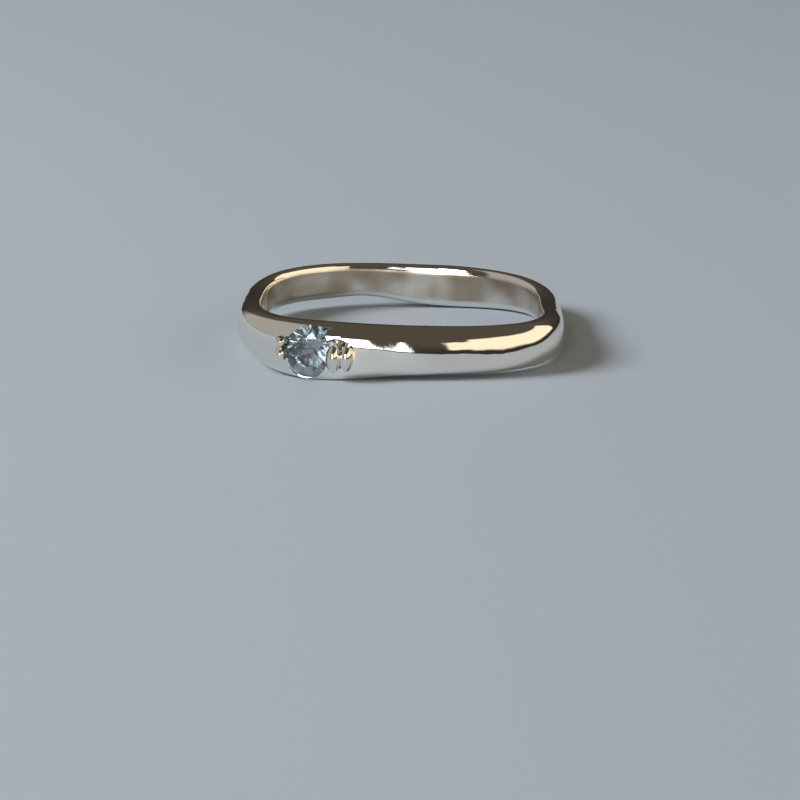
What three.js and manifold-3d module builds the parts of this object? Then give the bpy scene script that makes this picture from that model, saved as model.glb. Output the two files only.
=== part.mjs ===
// A birthstone ring: an uneven silver band with a squarish finger hole, and one round cut stone
// that sits in a seat between cast beads.
// Millimetres, +Z up. The ring lies on its side, as on a table: Z is the finger's axis, the band's
// lowest points are at z = 0, and the stone faces the front, a little to the left (-Y and some -X).
// Angles go round the finger hole from +X, counterclockwise seen from above, so -90 is the front.
import * as THREE from "three";
import { ParametricGeometry } from "three/addons/geometries/ParametricGeometry.js";
import { ConvexGeometry } from "three/addons/geometries/ConvexGeometry.js";
import { mergeVertices } from "three/addons/utils/BufferGeometryUtils.js";
import Module from "manifold-3d";

const wasm = await Module();
wasm.setup();

// Driving dimensions of the finger hole and the band.
const HOLE_HALF_WIDTH = 7.95; // from the centre to the left and right inner walls
const HOLE_HALF_DEPTH = 8.3; // from the centre to the front and back inner walls
const HOLE_SQUARENESS = 3.4; // 2 is an ellipse, and more is squarer
const BAND_HEIGHT = 2.05; // along the finger, before the swells
const BAND_WALL = 1.23; // from the inner to the outer surface, before the swells
const BAND_LIFT = 0.35; // how far the lower edge clears the table, before the swells

// The section of the band: an ellipse-like outside that hangs a little, and a flatter inside.
const SECTION = {
  innerShare: 0.4, // the share of the wall that lies inside the crest, before the swells
  innerSquareness: 3.8,
  outerSquareness: 2.15, // before the swells
  belly: 0.15, // how far the outermost line hangs, as a share of its depth, before the swells
};

// Hand-worked unevenness. Each row adds a smooth swell round the angle `at`, about `spread` degrees
// wide. height and wall thicken the band, lift raises its lower edge, hole widens the finger hole,
// square makes the outside of the section fuller, belly lowers its outermost line, and share moves
// its crest away from the finger.
const SWELL_COLUMNS = ["name", "at", "spread", "height", "wall", "lift", "hole", "square", "belly", "share"];
const SWELLS = [
  ["boss at the stone", -118, 15, 0.56, 0.38, -0.36, 0.03, 1.7, 0, 0],
  ["middle of the front", -83, 10, 0, 0.13, 0, 0, 0, 0, 0],
  ["heavy front", -85, 46, 0.47, 0.34, -0.15, 0.1, 0.45, 0.25, 0],
  ["belly right of the middle", -60, 16, 0, 0, 0, 0, 0, 0.18, 0],
  ["right shoulder", -30, 24, 0, 0.03, 0.03, 0, 0.2, 0, 0],
  ["thin right side", 18, 34, -0.3, 0.1, -0.26, -0.16, 0.9, 0, 0],
  ["back right corner", 38, 16, -0.08, 0, 0.04, 0.24, 0, 0, 0],
  ["heavy back", 70, 24, 0.48, 0.1, -0.33, 0.02, 0, 0, 0],
  ["narrow rim at the back", 95, 45, 0, 0, 0, 0, 0, 0, -0.15],
  ["bow of the back", 90, 20, 0, 0, 0, 0.2, 0, 0, 0],
  ["notch under the back", 103, 10, -0.29, -0.09, 0.32, 0, 0, 0, 0],
  ["back left corner", 122, 18, 0.08, -0.1, 0.11, 0, 0, 0, 0],
  ["thick left side", 165, 26, -0.16, 0.16, 0.05, -0.05, 0.8, 0, 0],
  ["left shoulder", -155, 26, 0.03, 0.1, 0.33, 0.06, 0.4, 0, 0],
].map((row) => Object.fromEntries(row.map((value, column) => [SWELL_COLUMNS[column], value])));

// Small dents and rises of the outer surface. `around` is the angle round the ring, and `up` the
// angle round the section, where 0 is the middle of the outside and 90 the upper rim.
const DENTS = [
  { around: -58, up: 40, spreadAround: 7, spreadUp: 18, depth: 0.04 },
  { around: -46, up: 5, spreadAround: 3, spreadUp: 30, depth: -0.025 },
  { around: -34, up: 32, spreadAround: 6, spreadUp: 24, depth: 0.04 },
  { around: -145, up: 25, spreadAround: 7, spreadUp: 30, depth: 0.03 },
];

const BAND_STEPS = 142; // faces round the ring
const SECTION_STEPS = 28; // faces round the section

// The stone, a round brilliant cut. Shares are of its diameter.
const STONE = {
  diameter: 3.0,
  at: -117, // the angle round the ring
  table: 0.57,
  crown: 0.15,
  girdle: 0.035,
  pavilion: 0.43,
  starLength: 0.5, // how far the star facets reach from the table to the girdle
  lowerHalfLength: 0.77, // how far the lower girdle facets reach from the girdle to the culet
  sunk: 0.3, // how far the girdle's upper edge lies under the outermost line of the band, in mm
  raised: 0.37, // how far its axis lies above the outermost line of the band, in mm
  turn: 10, // how far it faces more to the front than the band does, in degrees
  spin: 22.5, // how far its facets are turned round its axis, in degrees
};

// The setting. Places are measured from the stone's axis: along is the way round the band, to the
// right seen from the front, up is +Z, and out is above the girdle's upper edge.
const CLEARANCE = 0.04; // between the stone and the metal
const BACK_HOLE_RADIUS = 0.55; // drilled through behind the stone's culet
const BACK_HOLE_END = -4; // past the inner wall
const PIT_RADIUS = 1.2; // of the ball cutter that dishes the band round each bead

// The seat's opening is narrower than the stone, so the metal reaches over the stone's right edge.
const OPENING = { along: -0.29, halfWidth: 1.25 };

// The beads, two on the right of the stone and two on the left, are balls pressed flatter in places,
// so each has a half width, height and depth.
const BEADS = [
  { along: 1.22, up: -0.3, out: 0.5, wide: 0.43, tall: 0.78, deep: 0.6, pitAlong: 1.35, pitOut: 1.2 },
  { along: 1.92, up: -0.3, out: 0.4, wide: 0.41, tall: 0.72, deep: 0.55, pitAlong: 1.7, pitOut: 1.32 },
  { along: -1.72, up: 0.58, out: 0.1, wide: 0.34, tall: 0.3, deep: 0.54, pitAlong: -1.75, pitOut: 1.02 },
  { along: -1.76, up: -0.16, out: 0.1, wide: 0.36, tall: 0.46, deep: 0.56, pitAlong: -1.95, pitOut: 1.0 },
];

const SILVER = new THREE.MeshStandardMaterial({ color: 0xdedbd3, roughness: 0.12, metalness: 1 });
const PALE_BLUE = new THREE.MeshStandardMaterial({ color: 0xa9bccb, roughness: 0.05, metalness: 0 });

const radians = THREE.MathUtils.degToRad;

// A smooth periodic hill: 1 at the centre, falling to about 0.6 one spread away.
function hill(angle, centreDegrees, spreadDegrees) {
  const spread = radians(spreadDegrees);
  return Math.exp((Math.cos(angle - radians(centreDegrees)) - 1) / spread ** 2);
}

function swell(angle, column) {
  return SWELLS.reduce((sum, row) => sum + row[column] * hill(angle, row.at, row.spread), 0);
}

// The distance from the centre to a curve between an ellipse and a rectangle, in the direction given.
function squircle(angle, halfWidth, halfHeight, squareness) {
  const across = Math.abs(Math.cos(angle) / halfWidth) ** squareness;
  const upward = Math.abs(Math.sin(angle) / halfHeight) ** squareness;
  return (across + upward) ** (-1 / squareness);
}

// A point of the band's surface: around is the angle round the ring, up the angle round the section.
function bandPoint(around, up, target) {
  const height = BAND_HEIGHT + swell(around, "height");
  const wall = BAND_WALL + swell(around, "wall");
  const lift = BAND_LIFT + swell(around, "lift");
  const inside = Math.cos(up) < 0;
  const innerShare = SECTION.innerShare + swell(around, "share");
  const depth = wall * (inside ? innerShare : 1 - innerShare);
  const outerSquareness = SECTION.outerSquareness + swell(around, "square");
  const squareness = inside ? SECTION.innerSquareness : outerSquareness;
  const belly = SECTION.belly + swell(around, "belly");
  let reach = squircle(up, depth, height / 2, squareness);
  for (const dent of DENTS) {
    reach -= dent.depth * hill(around, dent.around, dent.spreadAround) * hill(up, dent.up, dent.spreadUp);
  }
  const hole = squircle(around, HOLE_HALF_WIDTH, HOLE_HALF_DEPTH, HOLE_SQUARENESS) + swell(around, "hole");
  const radius = hole + wall * innerShare + reach * Math.cos(up);
  const sag = inside ? 0 : (belly * (reach * Math.cos(up)) ** 2) / depth;
  return target.set(
    radius * Math.cos(around),
    radius * Math.sin(around),
    lift + height / 2 + reach * Math.sin(up) - sag,
  );
}

// The frame of the setting: its origin on the girdle's upper edge plane, +Z out of the band, +X along it.
function settingFrame() {
  const angle = radians(STONE.at);
  const step = 0.02;
  const up = new THREE.Vector3(0, 0, 1);
  const middle = bandPoint(angle, 0, new THREE.Vector3());
  const along = bandPoint(angle + step, 0, new THREE.Vector3())
    .sub(bandPoint(angle - step, 0, new THREE.Vector3()))
    .setZ(0)
    .normalize()
    .applyAxisAngle(up, radians(STONE.turn));
  const out = new THREE.Vector3().crossVectors(along, up);
  middle.addScaledVector(out, -STONE.sunk).addScaledVector(up, STONE.raised);
  return new THREE.Matrix4().makeBasis(along, up, out).setPosition(middle);
}

function solid(geometry, matrix) {
  const bare = new THREE.BufferGeometry().setAttribute("position", geometry.getAttribute("position").clone());
  if (geometry.index) bare.setIndex(geometry.index.clone());
  if (matrix) bare.applyMatrix4(matrix);
  const merged = mergeVertices(bare, 1e-5);
  return new wasm.Manifold(
    new wasm.Mesh({
      numProp: 3,
      vertProperties: merged.attributes.position.array,
      triVerts: new Uint32Array(merged.index.array),
    }),
  );
}

function geometryOf(manifold) {
  const mesh = manifold.getMesh();
  return new THREE.BufferGeometry()
    .setAttribute("position", new THREE.BufferAttribute(mesh.vertProperties, 3))
    .setIndex(new THREE.BufferAttribute(mesh.triVerts, 1));
}

// The stone in its own frame: the girdle's upper edge at z = 0, the table above, the culet below.
function brilliantCut() {
  const radius = STONE.diameter / 2;
  const crown = STONE.crown * STONE.diameter;
  const girdle = STONE.girdle * STONE.diameter;
  const pavilion = STONE.pavilion * STONE.diameter;
  const tableRadius = STONE.table * radius;
  const half = Math.PI / 8;
  const tableEdge = tableRadius * Math.cos(half);
  const starRadius = tableEdge + STONE.starLength * (radius - tableEdge);
  const starHeight = crown * (1 - (starRadius * Math.cos(half) - tableRadius) / (radius - tableRadius));
  const lowerRadius = (1 - STONE.lowerHalfLength) * radius;
  const lowerHeight = -girdle - pavilion * (1 - (lowerRadius * Math.cos(half)) / radius);
  const spin = radians(STONE.spin);
  const points = [new THREE.Vector3(0, 0, -girdle - pavilion)];
  const ring = (distance, angle, z) =>
    points.push(new THREE.Vector3(distance * Math.cos(angle), distance * Math.sin(angle), z));
  for (let k = 0; k < 8; k++) {
    const main = 2 * k * half + spin;
    ring(tableRadius, main, crown);
    ring(starRadius, main + half, starHeight);
    ring(lowerRadius, main + half, lowerHeight);
    for (const angle of [main, main + half]) {
      ring(radius, angle, 0);
      ring(radius, angle, -girdle);
    }
  }
  return new ConvexGeometry(points);
}

// The room that the stone takes in the metal, with a drilled hole behind it. The first cut is open
// to the outside. The second has the crown's own form, so the beads still reach over its edge.
function stoneRoom(open) {
  const radius = STONE.diameter / 2 + CLEARANCE;
  const ledge = -STONE.girdle * STONE.diameter - CLEARANCE;
  const slope = STONE.pavilion / 0.5;
  const coneEnd = ledge - (radius - BACK_HOLE_RADIUS) * slope;
  const front = STONE.crown * STONE.diameter + CLEARANCE;
  const frontRadius = open ? radius : STONE.table * radius;
  const profile = [
    [0, BACK_HOLE_END],
    [BACK_HOLE_RADIUS, BACK_HOLE_END],
    [BACK_HOLE_RADIUS, coneEnd],
    [radius, ledge],
    [radius, CLEARANCE / 2],
    [frontRadius, front],
    [0, front],
  ];
  const lathe = new THREE.LatheGeometry(profile.map(([r, y]) => new THREE.Vector2(r, y)), 48);
  lathe.rotateX(Math.PI / 2);
  if (open) lathe.scale(OPENING.halfWidth / radius, 1, 1).translate(OPENING.along, 0, 0);
  return lathe;
}

// Where a ball of the given half sizes goes, in the setting's frame.
function placed(setting, along, up, out, wide, tall, deep) {
  return setting
    .clone()
    .multiply(new THREE.Matrix4().makeTranslation(along, up, out))
    .multiply(new THREE.Matrix4().makeScale(wide, tall, deep));
}

function bandSolid(setting) {
  const surface = new ParametricGeometry(
    (u, v, target) => bandPoint(u * 2 * Math.PI, v * 2 * Math.PI, target),
    BAND_STEPS,
    SECTION_STEPS,
  );
  const ball = new THREE.SphereGeometry(1, 28, 18);
  let metal = solid(surface).subtract(solid(stoneRoom(true), setting));
  for (const { pitAlong, pitOut } of BEADS) {
    metal = metal.subtract(
      solid(ball, placed(setting, pitAlong, 0, pitOut, PIT_RADIUS, PIT_RADIUS, PIT_RADIUS)),
    );
  }
  for (const { along, up, out, wide, tall, deep } of BEADS) {
    metal = metal.add(solid(ball, placed(setting, along, up, out, wide, tall, deep)));
  }
  return metal.subtract(solid(stoneRoom(false), setting));
}

const setting = settingFrame();

const band = new THREE.Mesh(geometryOf(bandSolid(setting)), SILVER);
band.name = "band";

const stone = new THREE.Mesh(brilliantCut(), PALE_BLUE);
stone.name = "stone";
stone.applyMatrix4(setting);

// The origin is the middle of the underside of the whole ring's bounding box.
const ring = new THREE.Group();
ring.add(band, stone);
const box = new THREE.Box3().setFromObject(ring);
const middle = box.getCenter(new THREE.Vector3());
ring.position.set(-middle.x, -middle.y, -box.min.z);

export default ring;
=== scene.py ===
# %% [markdown]
# A birthstone ring lying on its side: an uneven band of polished silver, with one round cut stone
# held by four small beads. The solid model comes first, as a fixed frame in metres. Everything that
# is made here goes exactly where that frame says.

import math

import bpy
from mathutils import Matrix, Vector


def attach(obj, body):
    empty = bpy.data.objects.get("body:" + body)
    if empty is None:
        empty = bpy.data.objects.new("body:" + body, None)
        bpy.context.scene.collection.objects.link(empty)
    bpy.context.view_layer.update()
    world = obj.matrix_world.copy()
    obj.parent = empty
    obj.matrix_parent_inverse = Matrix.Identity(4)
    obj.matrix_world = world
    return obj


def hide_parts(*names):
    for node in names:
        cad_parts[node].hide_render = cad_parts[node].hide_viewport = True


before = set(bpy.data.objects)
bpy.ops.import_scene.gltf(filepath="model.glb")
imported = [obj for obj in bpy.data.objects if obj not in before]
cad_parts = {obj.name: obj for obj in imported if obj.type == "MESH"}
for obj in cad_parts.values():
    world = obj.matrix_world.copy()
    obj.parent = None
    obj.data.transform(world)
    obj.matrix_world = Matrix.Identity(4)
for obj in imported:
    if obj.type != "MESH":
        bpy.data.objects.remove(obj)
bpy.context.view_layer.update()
MM = 0.001


# %% [markdown]
# The camera stands in front of the ring and looks down at it at a low angle, from far enough away
# that the near and far sides look almost equally large. A long lens gives that flat perspective.

# %% Camera
CAMERA_ELEVATION = math.radians(13.07)
CAMERA_DISTANCE = 0.220
PIXELS_PER_METRE = 17340.0  # at the ring's middle
IMAGE_SIZE = 800.0
NEAREST_DRAWN = 0.01
RING_PIXEL = Vector((401.0, 341.8))  # where the frame's origin lands in the picture

focal_pixels = PIXELS_PER_METRE * CAMERA_DISTANCE
camera_data = bpy.data.cameras.new("camera")
camera_data.lens = focal_pixels * camera_data.sensor_width / IMAGE_SIZE
camera_data.clip_start = NEAREST_DRAWN
camera = bpy.data.objects.new("camera", camera_data)
bpy.context.scene.collection.objects.link(camera)
camera_way = Vector((0, -math.cos(CAMERA_ELEVATION), math.sin(CAMERA_ELEVATION)))
camera.location = CAMERA_DISTANCE * camera_way
look_down = math.atan((IMAGE_SIZE / 2 - RING_PIXEL.y) / focal_pixels)
look_aside = math.atan((IMAGE_SIZE / 2 - RING_PIXEL.x) / focal_pixels)
camera.rotation_euler = (math.pi / 2 - CAMERA_ELEVATION - look_down, 0, -look_aside)
bpy.context.scene.camera = camera
print("lens", round(camera_data.lens, 1), "mm")

# %% [markdown]
# Silver shows hardly any colour of its own. What the eye reads as polished metal is the room in its
# surface, so the room is a procedural sky: each row of a table is one soft panel, placed by the
# direction that it is seen in. Azimuth 0 is the front, where the camera is, and it grows to the right.

# %% Node helpers
def add(tree, kind, **settings):
    """A new node, with settings given by name."""
    made = tree.nodes.new(kind)
    for name, value in settings.items():
        setattr(made, name, value)
    return made


def feed(tree, socket, value):
    """Links a socket to an input, or sets the input to a plain value."""
    if isinstance(value, bpy.types.NodeSocket):
        tree.links.new(value, socket)
    else:
        socket.default_value = value


def maths(tree, operation, *values):
    """One Math node, and its result."""
    made = add(tree, "ShaderNodeMath", operation=operation)
    for socket, value in zip(made.inputs, values):
        feed(tree, socket, value)
    return made.outputs[0]


def smooth_step(tree, value, low, high):
    """0 on the low side, 1 on the high side, and smooth between. The two ends may be swapped."""
    made = add(tree, "ShaderNodeMapRange", interpolation_type="SMOOTHSTEP")
    feed(tree, made.inputs["Value"], value)
    made.inputs["From Min"].default_value = low
    made.inputs["From Max"].default_value = high
    return made.outputs["Result"]


def between(tree, value, low, high, soft):
    """1 between low and high, 0 outside, with soft edges just inside."""
    rising = smooth_step(tree, value, low, low + soft)
    falling = smooth_step(tree, value, high, high - soft)
    return maths(tree, "MULTIPLY", rising, falling)


# %% Room light
PANELS = [
    # name, azimuth from and to, elevation from and to, softness, colour, strength
    ("white window", -20, 4, 1, 30, 2.0, (0.93, 1.0, 1.0), 3.0),
    ("glare at the window's top", -19, -7, 27, 35, 1.0, (0.93, 1.0, 1.0), 13.0),
    ("cream window", 16, 34, 8, 31, 2.5, (1.0, 0.89, 0.66), 1.12),
    ("tall cream window", 26, 140, 5, 38, 4.0, (1.0, 0.89, 0.66), 1.12),
    ("pale wall on the left", -160, -36, -8, 84, 12.0, (1.0, 0.97, 0.92), 0.38),
]
CEILING = (0.085, 0.07, 0.054)
NEAR_HORIZON = (0.035, 0.03, 0.025)
CEILING_STARTS, CEILING_FULL = 2, 30  # degrees of elevation
LIGHT_MAP_SIZE = 512

world = bpy.data.worlds.new("room")
bpy.context.scene.world = world
world.use_nodes = True
room = world.node_tree
room.nodes.clear()
direction = add(room, "ShaderNodeTexCoord").outputs["Generated"]
parts = add(room, "ShaderNodeSeparateXYZ")
room.links.new(direction, parts.inputs[0])
across, ahead, height = parts.outputs
to_degrees = 180 / math.pi
elevation = maths(room, "MULTIPLY", maths(room, "ARCSINE", height), to_degrees)
toward_camera = maths(room, "MULTIPLY", ahead, -1.0)
azimuth = maths(room, "MULTIPLY", maths(room, "ARCTAN2", across, toward_camera), to_degrees)

base = add(room, "ShaderNodeMix", data_type="RGBA")
feed(room, base.inputs["Factor"], smooth_step(room, elevation, CEILING_STARTS, CEILING_FULL))
base.inputs["A"].default_value = (*NEAR_HORIZON, 1)
base.inputs["B"].default_value = (*CEILING, 1)
light = base.outputs["Result"]
for name, left, right, low, high, soft, colour, strength in PANELS:
    in_width = between(room, azimuth, left, right, soft)
    in_height = between(room, elevation, low, high, soft)
    inside = maths(room, "MULTIPLY", in_width, in_height)
    panel = add(room, "ShaderNodeMix", data_type="RGBA", label=name)
    feed(room, panel.inputs["Factor"], inside)
    feed(room, panel.inputs["A"], light)
    panel.inputs["B"].default_value = (*(c * strength for c in colour), 1)
    light = panel.outputs["Result"]
background = add(room, "ShaderNodeBackground")
feed(room, background.inputs["Color"], light)
out = add(room, "ShaderNodeOutputWorld")
room.links.new(background.outputs[0], out.inputs["Surface"])
world.cycles.sampling_method = "MANUAL"
world.cycles.sample_map_resolution = LIGHT_MAP_SIZE
print("room panels", len(PANELS))

# %% [markdown]
# One broad lamp on the left throws the soft shadow. It is hidden from mirror reflections, because
# the room's panels already draw the windows in the metal.

# %% Key light
KEY_POWER = 5.5
KEY_COLOUR = (0.9, 0.95, 1.0)
KEY_SIZE = 0.25
KEY_DISTANCE = 0.6
KEY_AZIMUTH = math.radians(-84)
KEY_ELEVATION = math.radians(33)

key_data = bpy.data.lights.new("key", "AREA")
key_data.shape = "DISK"
key_data.size = KEY_SIZE
key_data.energy = KEY_POWER
key_data.color = KEY_COLOUR
key = bpy.data.objects.new("key", key_data)
bpy.context.scene.collection.objects.link(key)
key_way = Vector((
    math.sin(KEY_AZIMUTH) * math.cos(KEY_ELEVATION),
    -math.cos(KEY_AZIMUTH) * math.cos(KEY_ELEVATION),
    math.sin(KEY_ELEVATION),
))
key.location = KEY_DISTANCE * key_way
key.rotation_euler = key_way.to_track_quat("Z", "Y").to_euler()
key.visible_glossy = False
print("key light at", [round(c, 3) for c in key.location])

# %% [markdown]
# The floor is a pale matt sheet with a fine, even tooth. It is stage, not part of the ring.

# %% Floor
FLOOR_HALF = 0.34
FLOOR_COLOUR = (0.36, 0.395, 0.435)
FLOOR_ROUGHNESS = 0.62
TOOTH_PER_METRE = 2600
TOOTH_HEIGHT = 0.00002
TOOTH_STRENGTH = 0.5


def principled(name, **values):
    """A material with one Principled shader, its tree and its shader."""
    material = bpy.data.materials.new(name)
    material.use_nodes = True
    shader = material.node_tree.nodes["Principled BSDF"]
    for socket, value in values.items():
        shader.inputs[socket].default_value = value
    return material, material.node_tree, shader


def noise(tree, coordinate, scale, detail, roughness=0.5):
    """A noise pattern's value on the given coordinate."""
    made = add(tree, "ShaderNodeTexNoise")
    made.inputs["Scale"].default_value = scale
    made.inputs["Detail"].default_value = detail
    made.inputs["Roughness"].default_value = roughness
    feed(tree, made.inputs["Vector"], coordinate)
    return made.outputs["Fac"]


def bump(tree, height, distance, strength=1.0, under=None):
    """A bump from a height, in metres, on top of another one if given."""
    made = add(tree, "ShaderNodeBump")
    made.inputs["Strength"].default_value = strength
    made.inputs["Distance"].default_value = distance
    feed(tree, made.inputs["Height"], height)
    if under is not None:
        tree.links.new(under, made.inputs["Normal"])
    return made.outputs["Normal"]


sheet_look = {"Base Color": (*FLOOR_COLOUR, 1), "Roughness": FLOOR_ROUGHNESS}
sheet, tree, shader = principled("pale sheet", **sheet_look)
spot = add(tree, "ShaderNodeTexCoord").outputs["Object"]
tooth = bump(tree, noise(tree, spot, TOOTH_PER_METRE, 3), TOOTH_HEIGHT, TOOTH_STRENGTH)
tree.links.new(tooth, shader.inputs["Normal"])

floor_mesh = bpy.data.meshes.new("floor")
corners = [(x * FLOOR_HALF, y * FLOOR_HALF, 0) for x, y in ((-1, -1), (1, -1), (1, 1), (-1, 1))]
floor_mesh.from_pydata(corners, [], [(0, 1, 2, 3)])
floor = bpy.data.objects.new("floor", floor_mesh)
bpy.context.scene.collection.objects.link(floor)
floor.data.materials.append(sheet)
print("floor", 2 * FLOOR_HALF, "m wide")

# %% [markdown]
# Polished silver: the outside is a near mirror with faint hammer and wipe marks, and the inside of
# the band is satin, where a finger and a mandrel have rubbed it. Brown blotches on the inside are
# some tarnish and partly a painted reflection of the dark brown room, tinted into the colour. One
# attribute, painted by the tree that makes the band, tells the two apart.

# %% Silver
INNER_ATTRIBUTE = "inner"
SILVER_TINT = (0.92, 0.885, 0.82, 1)
# Brown for the inside: some tarnish, and partly a painted reflection of the dark room.
TARNISH_AND_REFLECTION_TINT = (0.42, 0.33, 0.24, 1)
TARNISH_AND_REFLECTION_STARTS, TARNISH_AND_REFLECTION_FULL = 0.2, 0.68  # values of the blotches
BLOTCHES_PER_METRE = 420
HAMMER_MARKS_PER_METRE = 1300
WIPE_MARKS_PER_METRE = 5200
SATIN_WAVE_HEIGHT = 0.00006
HAMMER_MARK_HEIGHT = 0.0000025
WIPE_MARK_HEIGHT = 0.0000008
POLISH_ROUGHNESS = (0.06, 0.01)  # how much of it follows the blotches, and its least value
SATIN_ROUGHNESS = (0.2, 0.24)

silver, tree, shader = principled("polished silver", **{"Metallic": 1.0})
spot = add(tree, "ShaderNodeTexCoord").outputs["Object"]
inner = add(tree, "ShaderNodeAttribute", attribute_name=INNER_ATTRIBUTE).outputs["Fac"]
upright = add(tree, "ShaderNodeMapping")
tree.links.new(spot, upright.inputs["Vector"])
upright.inputs["Scale"].default_value = (1, 1, 1.1)
blotches = noise(tree, upright.outputs["Vector"], BLOTCHES_PER_METRE, 1.6, 0.45)
wiped = noise(tree, spot, WIPE_MARKS_PER_METRE, 2)
hammered = noise(tree, spot, HAMMER_MARKS_PER_METRE, 1)

# The inside's brown blotches: tarnish, and partly a painted reflection of the dark room.
tint = add(tree, "ShaderNodeMix", data_type="RGBA")
tarnish_and_reflection = smooth_step(tree, blotches, TARNISH_AND_REFLECTION_STARTS, TARNISH_AND_REFLECTION_FULL)
feed(tree, tint.inputs["Factor"], maths(tree, "MULTIPLY", inner, tarnish_and_reflection))
tint.inputs["A"].default_value = SILVER_TINT
tint.inputs["B"].default_value = TARNISH_AND_REFLECTION_TINT
tree.links.new(tint.outputs["Result"], shader.inputs["Base Color"])

rough = maths(tree, "MULTIPLY_ADD", blotches, *POLISH_ROUGHNESS)
rough_inner = maths(tree, "MULTIPLY_ADD", blotches, *SATIN_ROUGHNESS)
mixed = add(tree, "ShaderNodeMix", data_type="FLOAT")
feed(tree, mixed.inputs["Factor"], inner)
feed(tree, mixed.inputs["A"], rough)
feed(tree, mixed.inputs["B"], rough_inner)
tree.links.new(mixed.outputs["Result"], shader.inputs["Roughness"])
waves = bump(tree, maths(tree, "MULTIPLY", blotches, inner), SATIN_WAVE_HEIGHT)
planished = bump(tree, hammered, HAMMER_MARK_HEIGHT, under=waves)
tree.links.new(bump(tree, wiped, WIPE_MARK_HEIGHT, under=planished), shader.inputs["Normal"])
print(silver.name, "has", len(tree.nodes), "nodes")

# %% [markdown]
# The band is one casting whose size changes gently round the finger, as a hand-worked ring does.
# Every point of it follows one rule: a rounded section runs round a squarish hole, and a table of
# smooth swells makes it thicker, taller or higher in places. A rule like that suits Geometry Nodes:
# a flat grid is bent into the ring by arithmetic on each point's place in the grid.

# %% Sizes of the band, in millimetres and degrees
HOLE_HALF_WIDTH = 7.95
HOLE_HALF_DEPTH = 8.3
HOLE_SQUARENESS = 3.4
BAND_HEIGHT = 2.05
BAND_WALL = 1.23
BAND_LIFT = 0.35
INNER_SHARE = 0.4
INNER_SQUARENESS = 3.8
OUTER_SQUARENESS = 2.15
BELLY = 0.15  # how far the outermost line hangs, as a share of its depth
SATIN_ENDS = (0.76, 0.6)  # where the satin inside fades out, as a share of the half height
FRAME_SHIFT = Vector((0.09564, 0.4845, 0.13103))  # from the hole's centre to the frame's origin

SWELLS = [
    # name, at, spread, height, wall, lift, hole, square, belly, share
    ("boss at the stone", -118, 15, 0.56, 0.38, -0.36, 0.03, 1.7, 0, 0),
    ("middle of the front", -83, 10, 0, 0.13, 0, 0, 0, 0, 0),
    ("heavy front", -85, 46, 0.47, 0.34, -0.15, 0.1, 0.45, 0.25, 0),
    ("belly right of the middle", -60, 16, 0, 0, 0, 0, 0, 0.18, 0),
    ("right shoulder", -30, 24, 0, 0.03, 0.03, 0, 0.2, 0, 0),
    ("thin right side", 18, 34, -0.3, 0.1, -0.26, -0.16, 0.9, 0, 0),
    ("back right corner", 38, 16, -0.08, 0, 0.04, 0.24, 0, 0, 0),
    ("heavy back", 70, 24, 0.48, 0.1, -0.33, 0.02, 0, 0, 0),
    ("narrow rim at the back", 95, 45, 0, 0, 0, 0, 0, 0, -0.15),
    ("bow of the back", 90, 20, 0, 0, 0, 0.2, 0, 0, 0),
    ("notch under the back", 103, 10, -0.29, -0.09, 0.32, 0, 0, 0, 0),
    ("back left corner", 122, 18, 0.08, -0.1, 0.11, 0, 0, 0, 0),
    ("thick left side", 165, 26, -0.16, 0.16, 0.05, -0.05, 0.8, 0, 0),
    ("left shoulder", -155, 26, 0.03, 0.1, 0.33, 0.06, 0.4, 0, 0),
]
DENTS = [
    # around, up, spread around, spread up, depth
    (-58, 40, 7, 18, 0.04),
    (-46, 5, 3, 30, -0.025),
    (-34, 32, 6, 24, 0.04),
    (-145, 25, 7, 30, 0.03),
]
STEPS_AROUND = 640
STEPS_SECTION = 96
HAND_WAVES = 0.012  # how far the hand-worked surface waves in and out
WAVES_PER_MM = 0.42
WELD_DISTANCE = 0.0005

# %% Two small node groups: a hill, and a squared circle
def new_group(name, inputs, outputs):
    """An empty geometry node group with float sockets of these names."""
    group = bpy.data.node_groups.new(name, "GeometryNodeTree")
    for label in inputs:
        group.interface.new_socket(label, in_out="INPUT", socket_type="NodeSocketFloat")
    for label in outputs:
        group.interface.new_socket(label, in_out="OUTPUT", socket_type="NodeSocketFloat")
    return group, add(group, "NodeGroupInput"), add(group, "NodeGroupOutput")


def hill():
    """A smooth periodic hill round a circle: 1 at the centre, about 0.6 one spread away."""
    group, given, result = new_group("hill", ["Angle", "Centre", "Spread"], ["Height"])
    angle, centre, spread = given.outputs[:3]
    fall = maths(group, "SUBTRACT", maths(group, "COSINE", maths(group, "SUBTRACT", angle, centre)), 1.0)
    steepness = maths(group, "DIVIDE", fall, maths(group, "MULTIPLY", spread, spread))
    feed(group, result.inputs["Height"], maths(group, "EXPONENT", steepness))
    return group


def squared_circle():
    """How far a curve between an ellipse and a rectangle lies from its centre, in one direction."""
    labels = ["Angle", "Half Width", "Half Height", "Squareness"]
    group, given, result = new_group("squared circle", labels, ["Distance"])
    angle, half_width, half_height, squareness = given.outputs[:4]
    shares = []
    for function, half_size in (("COSINE", half_width), ("SINE", half_height)):
        over = maths(group, "DIVIDE", maths(group, function, angle), half_size)
        shares.append(maths(group, "POWER", maths(group, "ABSOLUTE", over), squareness))
    root = maths(group, "DIVIDE", -1.0, squareness)
    feed(group, result.inputs["Distance"], maths(group, "POWER", maths(group, "ADD", *shares), root))
    return group


hill_group = hill()
squircle_group = squared_circle()
print("node groups:", hill_group.name, "and", squircle_group.name)


def call(tree, group, *values):
    """Uses a node group and gives its first result."""
    made = add(tree, "GeometryNodeGroup", node_tree=group)
    for socket, value in zip(made.inputs, values):
        feed(tree, socket, value)
    return made.outputs[0]


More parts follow.
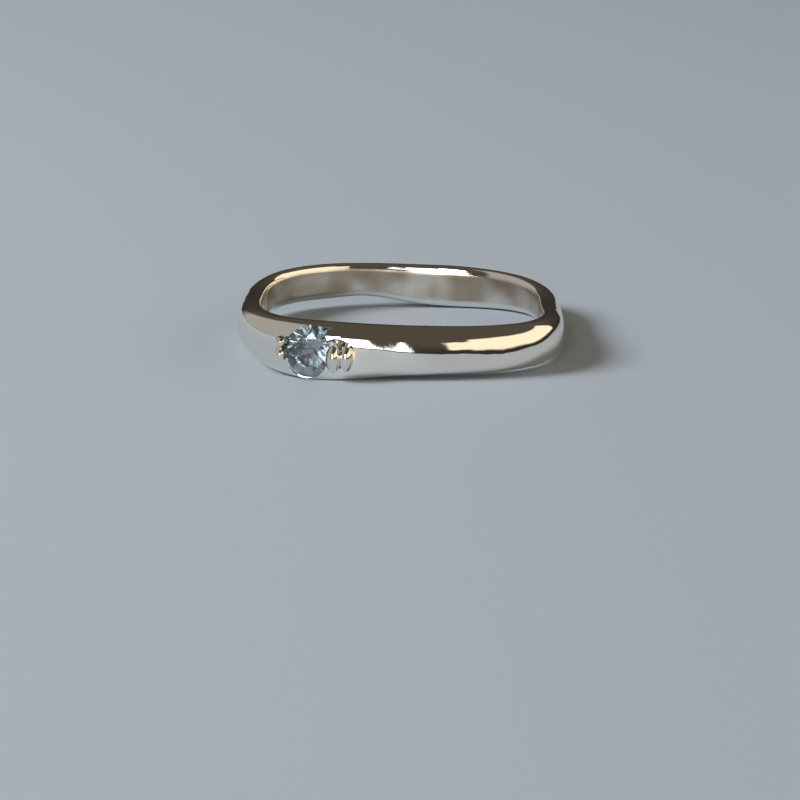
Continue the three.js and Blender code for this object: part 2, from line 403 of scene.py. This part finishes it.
# %% The setting's place, read off the stone
def stone_setting(node):
    """The stone's own frame: its origin in the table's centre, Z out of the table, X along the band."""
    faces = node.data.polygons
    largest = max(faces, key=lambda f: f.area)
    table = [f for f in faces if f.normal.dot(largest.normal) > 0.9999]
    area = sum(f.area for f in table)
    centre = sum((f.center * f.area for f in table), Vector()) / area
    outward = largest.normal.normalized()
    upward = Vector((0, 0, 1))
    along = upward.cross(outward).normalized()
    turned = Matrix((along, outward.cross(along), outward)).transposed().to_4x4()
    return Matrix.Translation(centre) @ turned, along


table_frame, along = stone_setting(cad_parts["stone"])
SETTING_TURN = math.atan2(along.y, along.x)
print("the stone's table", [round(c / MM, 3) for c in table_frame.translation])
print("turned", round(math.degrees(SETTING_TURN), 2), "degrees")

# %% [markdown]
# The stone sits in a seat that a bur cuts to its shape, with a hole drilled through behind it to let
# light in. A ball bur dishes the metal on both sides, and beads stand in the dishes, the nearest of
# them reaching over the stone's edge. So the tree cuts with cones and balls, joins the beads, and
# clears the stone's room through them last.

# %% Sizes of the stone and its setting, in millimetres
STONE_RADIUS = 1.5
TABLE_SHARE = 0.57
CROWN = 0.45
GIRDLE = 0.105
PAVILION_SLOPE = 0.86
CLEARANCE = 0.04
BACK_HOLE_RADIUS = 0.55
BACK_HOLE_END = -4.0
PIT_RADIUS = 1.2
OPENING_ALONG = -0.29
OPENING_HALF_WIDTH = 1.25
OPENING_TOP = 1.2
OVERLAP = 0.01  # by which two cutters in line run into each other
CUTTER_SIDES = 128
BALL_SEGMENTS = 96
BALL_RINGS = 48
BEADS = [
    # along, up, out, wide, tall, deep, pit along, pit out
    (1.22, -0.3, 0.5, 0.43, 0.78, 0.6, 1.35, 1.2),
    (1.92, -0.3, 0.4, 0.41, 0.72, 0.55, 1.7, 1.32),
    (-1.72, 0.58, 0.1, 0.34, 0.3, 0.54, -1.75, 1.02),
    (-1.76, -0.16, 0.1, 0.36, 0.46, 0.56, -1.95, 1.0),
]


# %% The band's tree: its named inputs
def group_input(tree, label, kind, value=None):
    """Adds one named input to a tree."""
    socket = tree.interface.new_socket(label, in_out="INPUT", socket_type=kind)
    if value is not None:
        socket.default_value = value
    return socket.identifier


band_tree = bpy.data.node_groups.new("uneven band with a bead setting", "GeometryNodeTree")
INPUTS = {
    "Hole Half Width": ("NodeSocketFloat", HOLE_HALF_WIDTH),
    "Hole Half Depth": ("NodeSocketFloat", HOLE_HALF_DEPTH),
    "Hole Squareness": ("NodeSocketFloat", HOLE_SQUARENESS),
    "Band Height": ("NodeSocketFloat", BAND_HEIGHT),
    "Band Wall": ("NodeSocketFloat", BAND_WALL),
    "Band Lift": ("NodeSocketFloat", BAND_LIFT),
    "Steps Around": ("NodeSocketInt", STEPS_AROUND),
    "Steps Section": ("NodeSocketInt", STEPS_SECTION),
    "Hand Waves": ("NodeSocketFloat", HAND_WAVES),
    "Silver": ("NodeSocketMaterial", silver),
}
band_inputs = {label: group_input(band_tree, label, kind) for label, (kind, _) in INPUTS.items()}
band_tree.interface.new_socket("Geometry", in_out="OUTPUT", socket_type="NodeSocketGeometry")
given = add(band_tree, "NodeGroupInput").outputs
print("inputs", list(INPUTS))

# %% The band's tree: a flat grid, one way round the finger and the other way round the section
radians = math.radians
grid = add(band_tree, "GeometryNodeMeshGrid")
grid.inputs["Size X"].default_value = 2 * math.pi
grid.inputs["Size Y"].default_value = 2 * math.pi
feed(band_tree, grid.inputs["Vertices X"], maths(band_tree, "ADD", given["Steps Around"], 1.0))
feed(band_tree, grid.inputs["Vertices Y"], maths(band_tree, "ADD", given["Steps Section"], 1.0))
place = add(band_tree, "ShaderNodeSeparateXYZ")
band_tree.links.new(add(band_tree, "GeometryNodeInputPosition").outputs[0], place.inputs[0])
around, up = place.outputs[0], place.outputs[1]

# %% The band's tree: the swells, added up at each point
hole_sizes = [given[label] for label in ("Hole Half Width", "Hole Half Depth", "Hole Squareness")]
size = {
    "height": given["Band Height"],
    "wall": given["Band Wall"],
    "lift": given["Band Lift"],
    "hole": call(band_tree, squircle_group, around, *hole_sizes),
    "square": OUTER_SQUARENESS,
    "belly": BELLY,
    "share": INNER_SHARE,
}
for name, at, spread, *amounts in SWELLS:
    rise = call(band_tree, hill_group, around, radians(at), radians(spread))
    for column, amount in zip(size, amounts):
        if amount:
            size[column] = maths(band_tree, "MULTIPLY_ADD", rise, amount, size[column])
print(len(SWELLS), "swells of", list(size))

# %% The band's tree: the rounded section
cosine = maths(band_tree, "COSINE", up)
sine = maths(band_tree, "SINE", up)
is_inside = maths(band_tree, "LESS_THAN", cosine, 0.0)


def pick(tree, choice, if_not, if_so):
    """One of two numbers."""
    made = add(tree, "GeometryNodeSwitch", input_type="FLOAT")
    feed(tree, made.inputs["Switch"], choice)
    feed(tree, made.inputs["False"], if_not)
    feed(tree, made.inputs["True"], if_so)
    return made.outputs[0]


outer_share = maths(band_tree, "SUBTRACT", 1.0, size["share"])
depth = maths(band_tree, "MULTIPLY", size["wall"], pick(band_tree, is_inside, outer_share, size["share"]))
half_height = maths(band_tree, "MULTIPLY", size["height"], 0.5)
section_squareness = pick(band_tree, is_inside, size["square"], INNER_SQUARENESS)
reach = call(band_tree, squircle_group, up, depth, half_height, section_squareness)
for at, at_up, spread, spread_up, dent in DENTS:
    hollow = maths(
        band_tree,
        "MULTIPLY",
        call(band_tree, hill_group, around, radians(at), radians(spread)),
        call(band_tree, hill_group, up, radians(at_up), radians(spread_up)),
    )
    reach = maths(band_tree, "MULTIPLY_ADD", hollow, -dent, reach)

radius = maths(
    band_tree,
    "ADD",
    maths(band_tree, "MULTIPLY_ADD", size["wall"], size["share"], size["hole"]),
    maths(band_tree, "MULTIPLY", reach, cosine),
)
outward = maths(band_tree, "MULTIPLY", reach, maths(band_tree, "MAXIMUM", cosine, 0.0))
sag = maths(band_tree, "DIVIDE", maths(band_tree, "MULTIPLY", outward, outward), depth)
straight = maths(band_tree, "ADD", size["lift"], half_height)
middle = maths(band_tree, "SUBTRACT", straight, maths(band_tree, "MULTIPLY", sag, size["belly"]))
level = maths(band_tree, "MULTIPLY_ADD", reach, sine, middle)

# %% The band's tree: bend the grid into the ring
bent = add(band_tree, "ShaderNodeCombineXYZ")
shifted = (
    maths(band_tree, "MULTIPLY_ADD", radius, maths(band_tree, "COSINE", around), FRAME_SHIFT.x),
    maths(band_tree, "MULTIPLY_ADD", radius, maths(band_tree, "SINE", around), FRAME_SHIFT.y),
    maths(band_tree, "ADD", level, FRAME_SHIFT.z),
)
for socket, value in zip(bent.inputs, shifted):
    band_tree.links.new(value, socket)

# The attribute is stored while the grid is still flat, because it reads the place in the grid.
paint = add(band_tree, "GeometryNodeStoreNamedAttribute", data_type="FLOAT", domain="POINT")
paint.inputs["Name"].default_value = INNER_ATTRIBUTE
band_tree.links.new(grid.outputs["Mesh"], paint.inputs["Geometry"])
from_middle = maths(band_tree, "MULTIPLY", reach, sine)
shoulder = maths(band_tree, "ABSOLUTE", maths(band_tree, "DIVIDE", from_middle, half_height))
satin = maths(band_tree, "MULTIPLY", is_inside, smooth_step(band_tree, shoulder, *SATIN_ENDS))
feed(band_tree, paint.inputs["Value"], satin)
bend = add(band_tree, "GeometryNodeSetPosition")
band_tree.links.new(paint.outputs["Geometry"], bend.inputs["Geometry"])
band_tree.links.new(bent.outputs[0], bend.inputs["Position"])
weld = add(band_tree, "GeometryNodeMergeByDistance")
band_tree.links.new(bend.outputs["Geometry"], weld.inputs["Geometry"])
weld.inputs["Distance"].default_value = WELD_DISTANCE

# %% The band's tree: hand-worked waves push the welded skin in and out
ripple = add(band_tree, "ShaderNodeTexNoise")
ripple.inputs["Scale"].default_value = WAVES_PER_MM
ripple.inputs["Detail"].default_value = 2.5
ripple.inputs["Roughness"].default_value = 0.4
band_tree.links.new(add(band_tree, "GeometryNodeInputPosition").outputs[0], ripple.inputs["Vector"])
swing = maths(band_tree, "MULTIPLY", maths(band_tree, "SUBTRACT", ripple.outputs["Fac"], 0.5), 4.0)
push = add(band_tree, "ShaderNodeVectorMath", operation="SCALE")
band_tree.links.new(add(band_tree, "GeometryNodeInputNormal").outputs[0], push.inputs[0])
feed(band_tree, push.inputs["Scale"], maths(band_tree, "MULTIPLY", swing, given["Hand Waves"]))
wave = add(band_tree, "GeometryNodeSetPosition")
band_tree.links.new(weld.outputs["Geometry"], wave.inputs["Geometry"])
band_tree.links.new(push.outputs["Vector"], wave.inputs["Offset"])


# %% The setter's tools
inward = Vector((-math.sin(SETTING_TURN), math.cos(SETTING_TURN), 0))
girdle_centre = table_frame.translation / MM + inward * CROWN


def placed(tree, mesh, offset, scale=(1, 1, 1)):
    """Moves a shape to its place in the setting, whose Z points out of the band."""
    local = add(tree, "GeometryNodeTransform")
    tree.links.new(mesh, local.inputs["Geometry"])
    local.inputs["Translation"].default_value = offset
    local.inputs["Scale"].default_value = scale
    turned = add(tree, "GeometryNodeTransform")
    tree.links.new(local.outputs["Geometry"], turned.inputs["Geometry"])
    turned.inputs["Rotation"].default_value = (math.pi / 2, 0, SETTING_TURN)
    turned.inputs["Translation"].default_value = girdle_centre
    return turned.outputs["Geometry"]


def cone(tree, low, high, low_radius, high_radius, along=0.0, narrow=1.0):
    """A closed cone or cylinder along the setting's Z, moved and narrowed along the band."""
    made = add(tree, "GeometryNodeMeshCone")
    made.inputs["Vertices"].default_value = CUTTER_SIDES
    made.inputs["Radius Bottom"].default_value = low_radius
    made.inputs["Radius Top"].default_value = high_radius
    made.inputs["Depth"].default_value = high - low
    return placed(tree, made.outputs["Mesh"], (along, 0, low), (narrow, 1, 1))


def ball(tree, offset, scale):
    """A ball at a place in the setting, stretched to its half sizes."""
    made = add(tree, "GeometryNodeMeshUVSphere")
    made.inputs["Segments"].default_value = BALL_SEGMENTS
    made.inputs["Rings"].default_value = BALL_RINGS
    made.inputs["Radius"].default_value = 1.0
    return placed(tree, made.outputs["Mesh"], offset, scale)


def cut(tree, mesh, *tools):
    """The mesh with each tool's volume taken away in turn."""
    for tool in tools:
        made = add(tree, "GeometryNodeMeshBoolean", operation="DIFFERENCE", solver="MANIFOLD")
        tree.links.new(mesh, made.inputs["Mesh 1"])
        tree.links.new(tool, made.inputs["Mesh 2"])
        mesh = made.outputs["Mesh"]
    return mesh


def join(tree, *meshes):
    """Solids as one solid."""
    made = add(tree, "GeometryNodeMeshBoolean", operation="UNION", solver="MANIFOLD")
    for mesh in meshes:
        tree.links.new(mesh, made.inputs["Mesh 2"])
    return made.outputs["Mesh"]


# %% The band's tree: cut the seat, raise the beads, clear the stone's room
room_radius = STONE_RADIUS + CLEARANCE
ledge = -GIRDLE - CLEARANCE
cone_end = ledge - (room_radius - BACK_HOLE_RADIUS) * PAVILION_SLOPE
pavilion_room = cone(band_tree, cone_end, ledge + OVERLAP, BACK_HOLE_RADIUS, room_radius)
back_hole = cone(band_tree, BACK_HOLE_END, cone_end + OVERLAP, BACK_HOLE_RADIUS, BACK_HOLE_RADIUS)
narrowing = OPENING_HALF_WIDTH / room_radius
open_seat = cone(band_tree, ledge, OPENING_TOP, room_radius, room_radius, OPENING_ALONG, narrowing)
girdle_room = cone(band_tree, ledge, CLEARANCE / 2, room_radius, room_radius)
crown_start = CLEARANCE / 2 - OVERLAP
crown_room = cone(band_tree, crown_start, CROWN + CLEARANCE, room_radius, TABLE_SHARE * room_radius)
pits = []
beads = []
for bead_along, bead_up, bead_out, wide, tall, deep, pit_along, pit_out in BEADS:
    pits.append(ball(band_tree, (pit_along, 0, pit_out), (PIT_RADIUS, PIT_RADIUS, PIT_RADIUS)))
    beads.append(ball(band_tree, (bead_along, bead_up, bead_out), (wide, tall, deep)))
metal = cut(band_tree, wave.outputs["Geometry"], open_seat, *pits)
metal = join(band_tree, metal, *beads)
metal = cut(band_tree, metal, girdle_room, crown_room, pavilion_room, back_hole)
print(len(pits), "dishes and", len(beads), "beads")

# %% The band's tree: edges that the cutters leave are sharp, and everything else is smooth
SHARP = radians(32)
angle = add(band_tree, "GeometryNodeInputMeshEdgeAngle").outputs["Unsigned Angle"]
smooth = add(band_tree, "GeometryNodeSetShadeSmooth", domain="FACE")
band_tree.links.new(metal, smooth.inputs["Geometry"])
crease = add(band_tree, "GeometryNodeSetShadeSmooth", domain="EDGE")
band_tree.links.new(smooth.outputs["Geometry"], crease.inputs["Geometry"])
feed(band_tree, crease.inputs["Selection"], maths(band_tree, "GREATER_THAN", angle, SHARP))
crease.inputs["Shade Smooth"].default_value = False
to_metres = add(band_tree, "GeometryNodeTransform")
band_tree.links.new(crease.outputs["Geometry"], to_metres.inputs["Geometry"])
to_metres.inputs["Scale"].default_value = (MM, MM, MM)
realize = add(band_tree, "GeometryNodeRealizeInstances")
band_tree.links.new(to_metres.outputs["Geometry"], realize.inputs["Geometry"])
finish = add(band_tree, "GeometryNodeSetMaterial")
band_tree.links.new(realize.outputs["Geometry"], finish.inputs["Geometry"])
band_tree.links.new(given["Silver"], finish.inputs["Material"])
final = add(band_tree, "NodeGroupOutput")
band_tree.links.new(finish.outputs["Geometry"], final.inputs["Geometry"])
print("the band's tree has", len(band_tree.nodes), "nodes")


# %% Turn the tree into a plain mesh
def grown(name, tree, identifiers, values):
    """Runs a tree on an empty mesh, and keeps its result as a plain mesh object."""
    seed = bpy.data.objects.new(name + "_seed", bpy.data.meshes.new(name + "_seed"))
    bpy.context.scene.collection.objects.link(seed)
    modifier = seed.modifiers.new("tree", "NODES")
    modifier.node_group = tree
    for label, (_, value) in values.items():
        modifier[identifiers[label]] = value
    bpy.context.view_layer.update()
    evaluated = seed.evaluated_get(bpy.context.evaluated_depsgraph_get())
    mesh = bpy.data.meshes.new_from_object(evaluated)
    mesh.name = name
    piece = bpy.data.objects.new(name, mesh)
    bpy.context.scene.collection.objects.link(piece)
    bpy.data.objects.remove(seed)
    return piece


band = grown("silver_band", band_tree, band_inputs, INPUTS)
triangles = sum(len(f.vertices) - 2 for f in band.data.polygons)
print("band", len(band.data.vertices), "points,", triangles, "triangles")
print("painted:", INNER_ATTRIBUTE in band.data.attributes)
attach(band, "root")
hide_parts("band")

# %% [markdown]
# The stone is a pale grey-blue gem, cut with a flat table, a crown and a pavilion. The solid model
# already has its facets, so only its material is made here: clear, a little tinted, and more
# refractive than window glass, so that its back facets flash.

# %% Stone
GEM_TINT = (0.42, 0.485, 0.535, 1)
GEM_IOR = 1.62

GEM_CLEARNESS = 0.92

gem_look = {
    "Base Color": GEM_TINT,
    "Roughness": 0.0,
    "IOR": GEM_IOR,
    "Transmission Weight": GEM_CLEARNESS,
    "Specular IOR Level": 1.0,
}
gem, _, _ = principled("pale blue gem", **gem_look)
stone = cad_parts["stone"]
stone.data.materials.clear()
stone.data.materials.append(gem)
print("stone", len(stone.data.polygons), "faces of", gem.name)

# %% Colours as the eye sees them
bpy.context.scene.view_settings.view_transform = "Standard"
